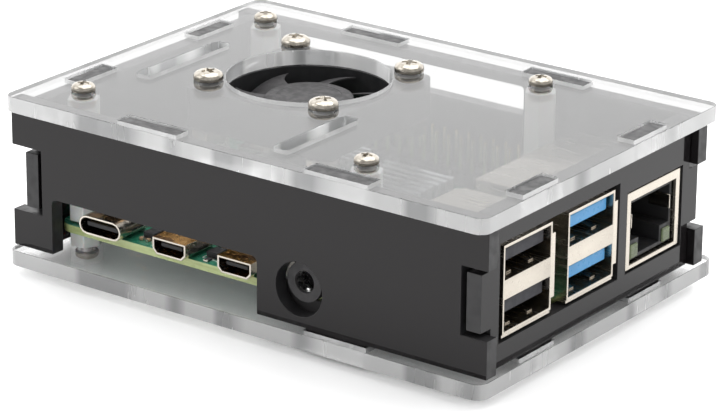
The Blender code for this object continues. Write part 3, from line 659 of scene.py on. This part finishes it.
def usb_insert(bm, rear, face, y, levels):
    """The moulding in a stack: its rear plate, and each port's well and tongue."""
    block(bm, (rear, rear + 0.7), (y - INSERT_HALF, y + INSERT_HALF), levels, 0.1)
    for roof in PORT_ROOFS:
        block(bm, (rear + 0.3, WELL_END), (y - WELL_HALF, y + WELL_HALF),
              (roof - PORT_HEIGHT + 0.25, roof - 0.25), 0.15)
        block(bm, (TONGUE_ROOT, face - 0.9), (y - TONGUE_HALF, y + TONGUE_HALF),
              (roof - TONGUE_DROP, roof - 0.45), 0.25)


def usb_rear_cover(bm, rear, y, levels):
    """Bent sheet round the insert's rear plate: its back, foot, roof and two sides."""
    inner, outer = INSERT_HALF + COVER_GAP, INSERT_HALF + COVER_OUT
    back, foot_z, roof_z = rear - 0.2, levels[0], levels[1]
    block(bm, (back, rear - 0.02), (y - outer, y + outer), levels, 0.06)
    for z in ((foot_z - COVER_OUT, foot_z - COVER_GAP), (roof_z + COVER_GAP, roof_z + COVER_OUT)):
        block(bm, (back, rear + COVER_WRAP), (y - outer, y + outer), z, 0.05)
    for side in ((y - outer, y - inner), (y + inner, y + outer)):
        block(bm, (rear - 0.03, rear + COVER_WRAP), side, levels)


def usb_contacts(bm, face, y, tongue, fast):
    """Spring contacts under a tongue, with a front row of pads if the port is fast."""
    for i in (-1.5, -0.5, 0.5, 1.5):
        bent_spring(bm, face - 2.6, face - 11.0, y + i * 2.3, 0.5, tongue - 0.02, -0.45)
    if fast:
        for i in range(-2, 3):
            block(bm, (face - 2.3, face - 1.55), (y + i * 2.1 - 0.35, y + i * 2.1 + 0.35),
                  (tongue - 0.16, tongue - 0.02), 0.03)


def usb_springs(bm, face, y, floor, roof):
    """The springs that grip a plug, two on a port's floor and two on its roof."""
    for side in (-SPRING_OFFSET, SPRING_OFFSET):
        bent_spring(bm, face - 1.6, face - 9.0, y + side, 0.7, floor + 0.04, 0.5)
        bent_spring(bm, face - 1.2, face - 7.0, y + side, 0.8, roof - 0.04, -0.3)


def usb_slit_shade(bm, face, y, top):
    """Dark strips on a stack's roof round its pressed-out springs: painted shade standing in for
    the slits.
    """
    z = (top - 0.05, top + 0.012)
    for middle in (y - SPRING_OFFSET, y + SPRING_OFFSET):
        for x0, x1, half in ((face - 9.5, face - 3.0, 1.3), (face - 9.0, face - 3.8, 0.9)):
            for edge in (-half, half):
                block(bm, (x0, x1),
                      (middle + edge - SLIT_HALF, middle + edge + SLIT_HALF), z)
            block(bm, (x0 - SLIT_HALF, x0 + SLIT_HALF), (middle - half, middle + half), z)


def finish_usb():
    for name in ("usb2", "usb3"):
        refined(f"{name}_shell", 0.12, weld_mm=0.08)
        insert, cover, contacts, springs, slit_shade = (bmesh.new() for _ in range(5))
        y = grid_middle(f"{name}_insert")[1]
        face, _, shell_top = grid_box(f"{name}_shell")[1]
        (rear, _, foot), (_, _, head) = grid_box(f"{name}_insert")
        usb_insert(insert, rear, face, y, (foot, head))
        usb_rear_cover(cover, rear, y, (foot, head))
        for roof in PORT_ROOFS:
            usb_contacts(contacts, face, y, roof - TONGUE_DROP, name == "usb3")
            usb_springs(springs, face, y, roof - PORT_HEIGHT, roof)
        usb_slit_shade(slit_shade, face, y, shell_top - 0.1)
        slot = slot_of(f"{name}_insert")
        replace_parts(add_piece(f"{name}_tongues", insert, slot), f"{name}_insert")
        add_piece(f"{name}_rear_cover", cover, "nickel_shell")
        add_piece(f"{name}_contacts", contacts, "gold_plate", smooth_below=40)
        add_piece(f"{name}_springs", springs, "nickel_shell", smooth_below=40)
        # dark strips as painted shade in the roof's slits
        add_piece(f"{name}_shell_slit_shade", slit_shade, "resistor")


def finish_ethernet():
    refined("ethernet_shell", 0.15)
    refined("ethernet_insert", 0.12)
    y, face = grid_middle("ethernet_shell")[1], grid_box("ethernet_shell")[1][0]
    lamps, wires, springs = bmesh.new(), bmesh.new(), bmesh.new()
    for sy in (-1, 1):
        lamp, spring = y + sy * LAMP_OFFSET, y + sy * SIDE_SPRING_OFFSET
        block(lamps, (face - 3.2, face - 0.35), (lamp - LAMP_HALF, lamp + LAMP_HALF),
              (1.6, 4.0), 0.2)
        block(springs, (face - 4.5, face - 0.5), (spring - 0.1, spring + 0.1),
              (7.0, 9.4), 0.05)
    for i in range(NETWORK_WIRES):
        wire_y = y + (i - (NETWORK_WIRES - 1) / 2) * NETWORK_PITCH
        bent_spring(wires, face - 3.4, face - 11.5, wire_y, 0.16, 10.9, -1.9)
    add_piece("ethernet_lamps", lamps, "lamp_lens")
    add_piece("ethernet_contacts", wires, "gold_plate", smooth_below=40)
    add_piece("ethernet_springs", springs, "nickel_shell", smooth_below=40)


# ---- sockets on the front --------------------------------------------------------
FRONT_SOCKETS = [       # name, shell, contacts, their pitch, tongue's upper and lower face
    ("usb_c", "brown_roof_painted_shell", 12, 0.5, 2.25, 1.5),
    ("micro_hdmi_0", "amber_roof_painted_shell", 9, 0.42, 2.2, 1.55),
    ("micro_hdmi_1", "amber_roof_painted_shell", 9, 0.42, 2.2, 1.55),
]
JACK_AXIS = 2.9                          # height over the board
SLEEVE_R, SLEEVE_BORE = 1.86, 1.72
SLEEVE_RINGS = [                         # radius, distance behind the jack's front
    (SLEEVE_BORE, 3.0), (SLEEVE_R, 3.0), (SLEEVE_R, 0.5), (SLEEVE_BORE, 0.4)]
LIP_DEPTH = (-0.66, -0.06)               # the lip stands before the board's front edge
LIP_AND_SHADE_BLOCKS = [                           # left, right from the jack's axis; bottom, top
    (-7.4, 4.9, -3.1, -0.62),            # its apron, hanging below the board: a dark block put in as painted shade
    (-3.6, -1.7, -0.66, -0.16),          # its shoulders, clear of the barrel
    (1.7, 3.6, -0.66, -0.16),
    (-7.4, -3.58, -0.66, 1.8),           # its cheeks, either side of the housing: dark blocks filling the gaps as painted shade
    (3.58, 4.9, -0.66, 1.1),
]


def finish_front_sockets():
    pads = bmesh.new()
    for name, shell, count, pitch, upper, lower in FRONT_SOCKETS:
        refined(f"{name}_shell", 0.1, shell)
        refined(f"{name}_insert", 0.08)
        middle = grid_middle(f"{name}_insert")[0]
        front = grid_box(f"{name}_insert")[0][1]
        for i in range(count):
            x = middle + (i - (count - 1) / 2) * pitch
            for z in ((upper - 0.03, upper + 0.02), (lower - 0.02, lower + 0.03)):
                block(pads, (x - 0.12, x + 0.12), (front + 0.35, front + 4.2), z)
    add_piece("front_socket_contacts", pads, "gold_plate")


def jack_sleeve(bm, x, front, sides=32):
    """The bore's metal sleeve, a ring turned along Y."""
    rings = []
    for radius, inward in SLEEVE_RINGS:
        rings.append([bm.verts.new(at(x + radius * math.cos(a), front + inward,
                                      JACK_AXIS + radius * math.sin(a)))
                      for a in (2 * math.pi * i / sides for i in range(sides))])
    for a, b in zip(rings, rings[1:] + rings[:1]):
        for i in range(sides):
            j = (i + 1) % sides
            bm.faces.new((a[i], a[j], b[j], b[i]))


def finish_audio_jack():
    """The jack's housing, the sleeve and contact in its bore, and the lip round it, whose apron
    and cheeks are dark blocks of painted shade in the gaps.
    """
    refined("audio_jack", 0.22, "fan_plastic")
    x, front = grid_middle("audio_jack")[0], grid_box("audio_jack")[0][1]
    metal, lip = bmesh.new(), bmesh.new()
    jack_sleeve(metal, x, front)
    contact_foot = JACK_AXIS - SLEEVE_BORE
    block(metal, (x - 0.25, x + 0.5), (front + 0.7, front + 1.3),
          (contact_foot, contact_foot + 0.55), 0.16)
    add_piece("audio_jack_sleeve", metal, "bright_tin", smooth_below=50)
    # the lip is partly the housing's own lip and partly dark blocks of painted shade
    for left, right, bottom, top in LIP_AND_SHADE_BLOCKS:
        block(lip, (x + left, x + right), LIP_DEPTH, (bottom, top), 0.1)
    add_piece("audio_jack_lip_and_shade_blocks", lip, "fan_plastic")


# ---- the pin header --------------------------------------------------------------
PIN_PITCH, PIN_SIDE = 2.54, 0.64
HEADER_MIDDLE = (32.5, 52.5)
HEADER_COLUMNS, HEADER_ROWS = 20, 2
HEADER_BASE = 2.5                        # height of the black strip
PIN_SOLDER = [(0, -2.7), (0.3, -2.65), (0.35, -2.1), (0.55, -1.7), (0.85, -1.44), (0, -1.42)]


def header_cells():
    for column in range(HEADER_COLUMNS):
        for row in range(HEADER_ROWS):
            yield (HEADER_MIDDLE[0] + (column - (HEADER_COLUMNS - 1) / 2) * PIN_PITCH,
                   HEADER_MIDDLE[1] + (row - (HEADER_ROWS - 1) / 2) * PIN_PITCH)


def finish_header():
    base, pins, joints = bmesh.new(), bmesh.new(), bmesh.new()
    (_, _, foot), (_, _, top) = grid_box("gpio_header")
    cell, pin = PIN_PITCH / 2 - 0.005, PIN_SIDE / 2
    for x, y in header_cells():
        block(base, (x - cell, x + cell), (y - cell, y + cell), (foot, foot + HEADER_BASE),
              0.32)
        block(pins, (x - pin, x + pin), (y - pin, y + pin), (foot + 0.3, top), 0.14)
        lathe(joints, PIN_SOLDER, 10, at(x, y, 0))
    piece = add_piece("gpio_header_base", base, "black_plastic")
    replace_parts(piece, "gpio_header")
    add_piece("gpio_header_pins", pins, "gold_plate")
    add_piece("gpio_solder_joints", joints, "bright_tin", smooth_below=60)


# ---- parts soldered to the board -------------------------------------------------
CHIPS = [                       # name, x, y, width, depth, height of bare chips on the board
    ("usb_controller", 62.5, 29.5, 7.0, 7.0, 0.95),
    ("network_chip", 60.0, 45.6, 7.0, 7.0, 0.9),
    ("power_controller", 9.2, 12.4, 5.0, 5.0, 0.85),
    ("clock_chip", 33.0, 19.2, 3.2, 2.5, 0.8),
    ("flash_chip", 56.0, 20.0, 4.9, 3.9, 1.4),
    ("port_switch_1", 18.9, 7.6, 2.6, 2.6, 0.9),
    ("port_switch_2", 32.7, 8.6, 2.4, 3.0, 0.9),
    ("port_guard_1", 17.6, 4.2, 2.2, 2.8, 1.1),
    ("port_guard_2", 31.4, 3.6, 2.2, 2.8, 1.1),
    ("port_guard_3", 45.0, 4.2, 1.8, 2.4, 1.0),
]
LEG_SPACE, LEG_PITCH, LEG_HALF = 0.65, 0.6, 0.12
KEEP_OUT = ["processor", "memory_chip", "radio_shield", "usb2_shell", "usb3_shell",
            "ethernet_shell", "usb_c_shell", "micro_hdmi_0_shell", "micro_hdmi_1_shell",
            "audio_jack", "gpio_header", "display_connector", "camera_connector",
            "standoff_1", "standoff_2", "standoff_3", "standoff_4"]
CROWD_PLACES = [                # open areas filled with small parts, besides those by the chips
    (29.3, 32.5), (47.2, 32.5), (26.0, 12.0), (39.5, 12.0), (11.2, 9.5), (54.0, 15.5),
    (64.0, 38.0), (68.0, 18.0), (13.0, 30.0), (10.0, 20.0), (60.0, 6.5), (66.5, 9.0)]
FRONT_GAPS = [(x, y) for x in (19.0, 32.7, 46.2) for y in (3.2, 7.2)]
CHIP_PART_SIZES = [(0.5, 0.28, 0.3), (0.8, 0.45, 0.45), (1.0, 0.62, 0.6)]   # halves, height
CORE_SHARE = 0.62               # of a small part's length, between its tinned ends
PLACE_STEP = 0.4
PARTS_X, PARTS_Y = (0.9, 84), (0.9, 55)     # the board's area that small parts may take


def chip(bodies, legs, x, y, w, d, h):
    block(bodies, (x - w / 2, x + w / 2), (y - d / 2, y + d / 2), (0.08, h), 0.08)
    count = int(w / LEG_SPACE)
    for i in range(count):
        leg = x + (i - (count - 1) / 2) * LEG_PITCH
        for sy in (-1, 1):
            block(legs, (leg - LEG_HALF, leg + LEG_HALF),
                  (y + sy * (d / 2 - 0.1), y + sy * (d / 2 + 0.35)), (0.02, 0.16))


def footprints():
    """Rectangles on the board that hold something already."""
    taken = []
    for node in KEEP_OUT:
        (x0, y0, _), (x1, y1, _) = grid_box(node)
        taken.append((x0, y0, x1, y1))
    taken += [(x - w / 2, y - d / 2, x + w / 2, y + d / 2) for _, x, y, w, d, _ in CHIPS]
    return taken


def free_spot(taken, x, y, half_x, half_y, margin=0.35):
    return all(x + half_x + margin < x0 or x - half_x - margin > x1 or
               y + half_y + margin < y0 or y - half_y - margin > y1
               for x0, y0, x1, y1 in taken)


def chip_part(body, ends, x, y, half_x, half_y, height, upright):
    """A chip capacitor or resistor: its body and two tinned ends, along X or Y."""
    place, half_length = (y, half_y) if upright else (x, half_x)
    core = half_length * CORE_SHARE
    sections = [(body, -core, core, (0.04, height), 0.03)]
    sections += [(ends, sign * core, sign * half_length, (0.02, height + 0.02), 0.05)
                 for sign in (-1, 1)]
    for bm, start, stop, z, bevel in sections:
        along = (place + start, place + stop)
        if upright:
            block(bm, (x - half_x, x + half_x), along, z, bevel)
        else:
            block(bm, along, (y - half_y, y + half_y), z, bevel)


def finish_small_parts():
    """Chips, and rows of chip capacitors and resistors with tinned ends."""
    rng = random.Random(11)
    taken = footprints()
    bodies, legs, ends = bmesh.new(), bmesh.new(), bmesh.new()
    parts = {"capacitor": bmesh.new(), "resistor": bmesh.new()}
    for _, x, y, w, d, h in CHIPS:
        chip(bodies, legs, x, y, w, d, h)
    crowds = [(x, y, 8.0, 26) for _, x, y, *_ in CHIPS]       # x, y, reach, tries
    crowds += [(x, y, 8.0, 26) for x, y in CROWD_PLACES]
    crowds += [(x, y, 3.6, 240) for x, y in FRONT_GAPS]
    for cx, cy, reach, tries in crowds:
        for _ in range(tries):
            upright = rng.random() < 0.5
            length, width, base_height = rng.choice(CHIP_PART_SIZES)
            half_x, half_y = (width, length) if upright else (length, width)
            x = cx + round(rng.uniform(-reach, reach) / PLACE_STEP) * PLACE_STEP
            y = cy + round(rng.uniform(-reach, reach) / PLACE_STEP) * PLACE_STEP
            inside = PARTS_X[0] < x < PARTS_X[1] and PARTS_Y[0] < y < PARTS_Y[1]
            if not inside or not free_spot(taken, x, y, half_x, half_y, 0.15):
                continue
            taken.append((x - half_x, y - half_y, x + half_x, y + half_y))
            kind = rng.choice(["capacitor", "capacitor", "resistor"])
            height = base_height * (1.6 if kind == "capacitor" else 0.9)
            chip_part(parts[kind], ends, x, y, half_x, half_y, height, upright)
    add_piece("board_chips", bodies, "chip_resin")
    add_piece("chip_legs", legs, "bright_tin")
    add_piece("chip_capacitors", parts["capacitor"], "capacitor")
    add_piece("chip_resistors", parts["resistor"], "resistor")
    add_piece("chip_part_ends", ends, "nickel_shell")


# ---- the board -------------------------------------------------------------------
TRACE_RUNS = [                   # each run: number of parallel tracks, then its corners
    (9, [(37.5, 30.0), (39.5, 30.0)]),
    (7, [(30.0, 24.5), (30.0, 17.0), (27.0, 14.0), (27.0, 8.5)]),
    (7, [(34.0, 24.5), (34.0, 20.5), (39.5, 15.0), (39.5, 8.5)]),
    (8, [(37.5, 27.0), (41.0, 23.5), (56.0, 23.5), (58.5, 26.0), (58.5, 29.0)]),
    (6, [(36.0, 40.5), (39.0, 43.5), (55.5, 43.5), (56.5, 44.5)]),
    (6, [(66.5, 28.0), (70.5, 24.0), (70.5, 14.0)]),
    (8, [(63.8, 46.0), (67.0, 46.0)]),
    (10, [(24.0, 40.5), (24.0, 44.0), (27.0, 47.0), (27.0, 50.0)]),
    (8, [(46.0, 39.5), (46.0, 44.0), (48.0, 46.0), (48.0, 50.0)]),
    (5, [(21.5, 34.0), (16.0, 34.0), (13.5, 36.5), (13.5, 39.0)]),
    (5, [(21.5, 29.0), (17.0, 24.5), (7.0, 24.5)]),
    (6, [(12.0, 14.5), (15.0, 17.5), (22.0, 17.5), (25.5, 21.0), (25.5, 24.5)]),
    (4, [(54.0, 13.0), (54.0, 18.0)]),
    (6, [(49.0, 12.0), (52.5, 15.5), (52.5, 22.5)]),
]
TRACE_Z = (0.0, 0.03)
TRACK_PITCH, TRACK_WIDTH = 0.42, 0.16
VIA_TRIES, PAD_TRIES = 260, 70
PRINT_WIDTH, PRINT_MARGIN = 0.14, 0.45   # of the printed outlines
PRINT_Z = (0.0, 0.035)
CARD_AREA = (0.0, 20.0, 17.0, 36.0)      # kept free of test pads under the board
SOLDER_BUMP = [(0, -0.75), (0.25, -0.72), (0.35, -0.4), (0.7, -0.02), (0, 0.0)]
TEST_PAD = [(0, -0.04), (0.5, -0.04), (0.5, 0.0), (0, 0.0)]


def track(bm, points, offset):
    """One copper track beside a run's centre line, mitred at its corners."""
    count = len(points)
    left, right = [], []
    for i, (x, y) in enumerate(points):
        before = Vector(points[max(i - 1, 0)])
        here = Vector((x, y))
        after = Vector(points[min(i + 1, count - 1)])
        d0 = (here - before).normalized() if i else (after - here).normalized()
        d1 = (after - here).normalized() if i < count - 1 else d0
        normal = Vector((-(d0 + d1).y, (d0 + d1).x)).normalized()
        stretch = 1 / max(0.5, normal.dot(Vector((-d0.y, d0.x))))
        for side, row in ((0.5, left), (-0.5, right)):
            p = here + normal * (offset + side * TRACK_WIDTH) * stretch
            row.append([bm.verts.new(at(p.x, p.y, z)) for z in TRACE_Z])
    rows = list(zip(left, right))
    for (l0, r0), (l1, r1) in zip(rows, rows[1:]):
        bm.faces.new((l0[1], l1[1], r1[1], r0[1]))
        bm.faces.new((l0[0], l1[0], l1[1], l0[1]))
        bm.faces.new((r0[0], r1[0], r1[1], r0[1]))


def via(bm, x, y):
    """A plated hole: a ring with a sunken middle."""
    lathe(bm, [(0, 0.0), (0.26, 0.0), (0.26, 0.045), (0.13, 0.045), (0.1, 0.02), (0, 0.02)],
          10, at(x, y, 0.0))


def finish_board():
    refined("circuit_board", 0.05)
    copper, vias = bmesh.new(), bmesh.new()
    for count, points in TRACE_RUNS:
        for k in range(count):
            track(copper, points, (k - (count - 1) / 2) * TRACK_PITCH)
    rng = random.Random(23)
    taken = footprints()
    for _ in range(VIA_TRIES):
        x, y = rng.uniform(2, 83), rng.uniform(2, 54)
        if free_spot(taken, x, y, 0.3, 0.3, 0.1):
            via(vias, x, y)
    add_piece("copper_tracks", copper, "copper_trace")
    add_piece("plated_holes", vias, "gold_plate")
    finish_silk_print()
    finish_underside()


def outline_print(bm, x0, y0, x1, y1):
    half = PRINT_WIDTH / 2
    for y in (y0, y1):
        block(bm, (x0, x1), (y - half, y + half), PRINT_Z)
    for x in (x0, x1):
        block(bm, (x - half, x + half), (y0, y1), PRINT_Z)


def finish_silk_print():
    """Printed outlines round the parts, without any lettering."""
    bm = bmesh.new()
    for x0, y0, x1, y1 in footprints():
        left, front = x0 - PRINT_MARGIN, y0 - PRINT_MARGIN
        right, back = x1 + PRINT_MARGIN, y1 + PRINT_MARGIN
        if left > 0.5 and front > 0.5 and right < 84.5:
            outline_print(bm, left, front, right, back)
    add_piece("printed_outlines", bm, "silk_print")


def finish_underside():
    """Solder joints of the sockets, and test pads, on the board's lower face."""
    joints, pads = bmesh.new(), bmesh.new()
    lower = -(BOARD_HIGH.z - BOARD_LOW.z) / MM
    for y in (9.0, 27.0):                            # the two USB stacks
        for x in (74.0, 76.5):
            for i in range(4):
                lathe(joints, SOLDER_BUMP, 10, at(x, y + (i - 1.5) * 2.0, lower))
        for x in (73.0, 84.0):
            for sy in (-6.0, 6.0):
                lathe(joints, [(r * 1.5, h) for r, h in SOLDER_BUMP], 12,
                      at(x, y + sy, lower))
    for i in range(10):                              # the network socket
        lathe(joints, SOLDER_BUMP, 10,
              at(70.5 + (i % 2) * 2.5, 45.75 + (i - 4.5) * 1.27, lower))
    rng = random.Random(5)
    for _ in range(PAD_TRIES):
        x, y = rng.uniform(4, 66), rng.uniform(4, 48)
        if free_spot([CARD_AREA], x, y, 0.8, 0.8):
            lathe(pads, TEST_PAD, 12, at(x, y, lower))
    add_piece("underside_joints", joints, "bright_tin", smooth_below=60)
    add_piece("test_pads", pads, "gold_plate")


ROUNDED_PARTS = {                        # edge rounding in mm, for parts kept as they are
    "processor": 0.1, "memory_chip": 0.1, "radio_shield": 0.15,
    "processor_heatsink": 0.12, "memory_heatsink": 0.12,
    "display_connector": 0.15, "camera_connector": 0.15,
    "display_latch": 0.15, "camera_latch": 0.15,
    "card_socket": 0.1, "memory_card": 0.08,
}


def finish_big_parts():
    for node, edge_mm in ROUNDED_PARTS.items():
        refined(node, edge_mm)


# ---- the studio --------------------------------------------------------------------
CAMERA_AZIMUTH, CAMERA_ELEVATION, CAMERA_ROLL = 36.25, 20.50, 0.44
CAMERA_DISTANCE, CAMERA_LENS = 0.583, 175.3
CAMERA_AIM = Vector((-0.0001, 0.0, 0.0121))


def towards(azimuth, elevation):
    """Unit vector towards a viewer at that azimuth and elevation, in degrees."""
    a, e = math.radians(azimuth), math.radians(elevation)
    return Vector((math.sin(a) * math.cos(e), -math.cos(a) * math.cos(e), math.sin(e)))


def add_camera():
    data = bpy.data.cameras.new("camera")
    data.lens = CAMERA_LENS
    data.clip_start, data.clip_end = 0.01, 50.0
    camera = bpy.data.objects.new("camera", data)
    back = towards(CAMERA_AZIMUTH, CAMERA_ELEVATION)
    camera.location = CAMERA_AIM + back * CAMERA_DISTANCE
    level = (-back).to_track_quat("-Z", "Y").to_matrix().to_4x4()
    roll = Matrix.Rotation(math.radians(CAMERA_ROLL), 4, "Z")
    camera.rotation_euler = (level @ roll).to_euler()
    bpy.context.scene.collection.objects.link(camera)
    bpy.context.scene.camera = camera


def add_floor():
    bm = bmesh.new()
    bmesh.ops.create_grid(bm, x_segments=1, y_segments=1, size=6.0)
    mesh = bpy.data.meshes.new("floor")
    bm.to_mesh(mesh)
    bm.free()
    floor = bpy.data.objects.new("floor", mesh)
    pale = Finish("floor_white", (0.86, 0.86, 0.86), 0.5, Emission_Strength=0.09)
    mesh.materials.append(pale.material)
    bpy.context.scene.collection.objects.link(floor)


def add_world():
    """A pale studio: bright low down behind the object, darker in front and above."""
    world = bpy.data.worlds.new("studio")
    bpy.context.scene.world = world
    world.use_nodes = True
    tree = world.node_tree
    background = tree.nodes["Background"]
    place = tree.nodes.new("ShaderNodeTexCoord")
    facing = tree.nodes.new("ShaderNodeVectorMath")
    facing.operation = "DOT_PRODUCT"
    tree.links.new(place.outputs["Generated"], facing.inputs[0])
    facing.inputs[1].default_value = -towards(CAMERA_AZIMUTH, -14.0)
    ramp = tree.nodes.new("ShaderNodeMapRange")
    ramp.interpolation_type = "SMOOTHSTEP"
    tree.links.new(facing.outputs["Value"], ramp.inputs["Value"])
    for socket, value in (("From Min", 0.1), ("From Max", 0.85), ("To Min", 0.75),
                          ("To Max", 1.95)):
        ramp.inputs[socket].default_value = value
    tree.links.new(ramp.outputs["Result"], background.inputs["Strength"])
    background.inputs["Color"].default_value = (1.0, 1.0, 1.0, 1.0)


def add_softbox(name, azimuth, elevation, distance, size, power):
    data = bpy.data.lights.new(name, "AREA")
    data.shape = "RECTANGLE"
    data.size, data.size_y = size
    data.energy = power
    lamp = bpy.data.objects.new(name, data)
    out = towards(azimuth, elevation)
    lamp.location = out * distance
    lamp.rotation_euler = out.to_track_quat("Z", "Y").to_euler()
    bpy.context.scene.collection.objects.link(lamp)


def add_studio():
    add_camera()
    add_floor()
    add_world()
    add_softbox("overhead_softbox", 160.0, 78.0, 1.0, (1.2, 1.2), 10.0)
    add_softbox("left_softbox", -50.0, 35.0, 1.1, (0.7, 0.7), 2.5)
    bpy.context.scene.view_settings.view_transform = "Standard"


def finish_plain_nodes():
    """CAD nodes that no piece replaces get the material of their slot."""
    for node, obj in frame["nodes"].items():
        if not obj.hide_render:
            obj.data.materials.clear()
            obj.data.materials.append(MATERIALS[slot_of(node)])


def main():
    add_studio()
    finish_sheets()
    finish_screws()
    finish_nylon_and_nuts()
    finish_fan()
    finish_usb()
    finish_ethernet()
    finish_front_sockets()
    finish_audio_jack()
    finish_header()
    finish_board()
    finish_small_parts()
    finish_big_parts()
    finish_plain_nodes()


main()
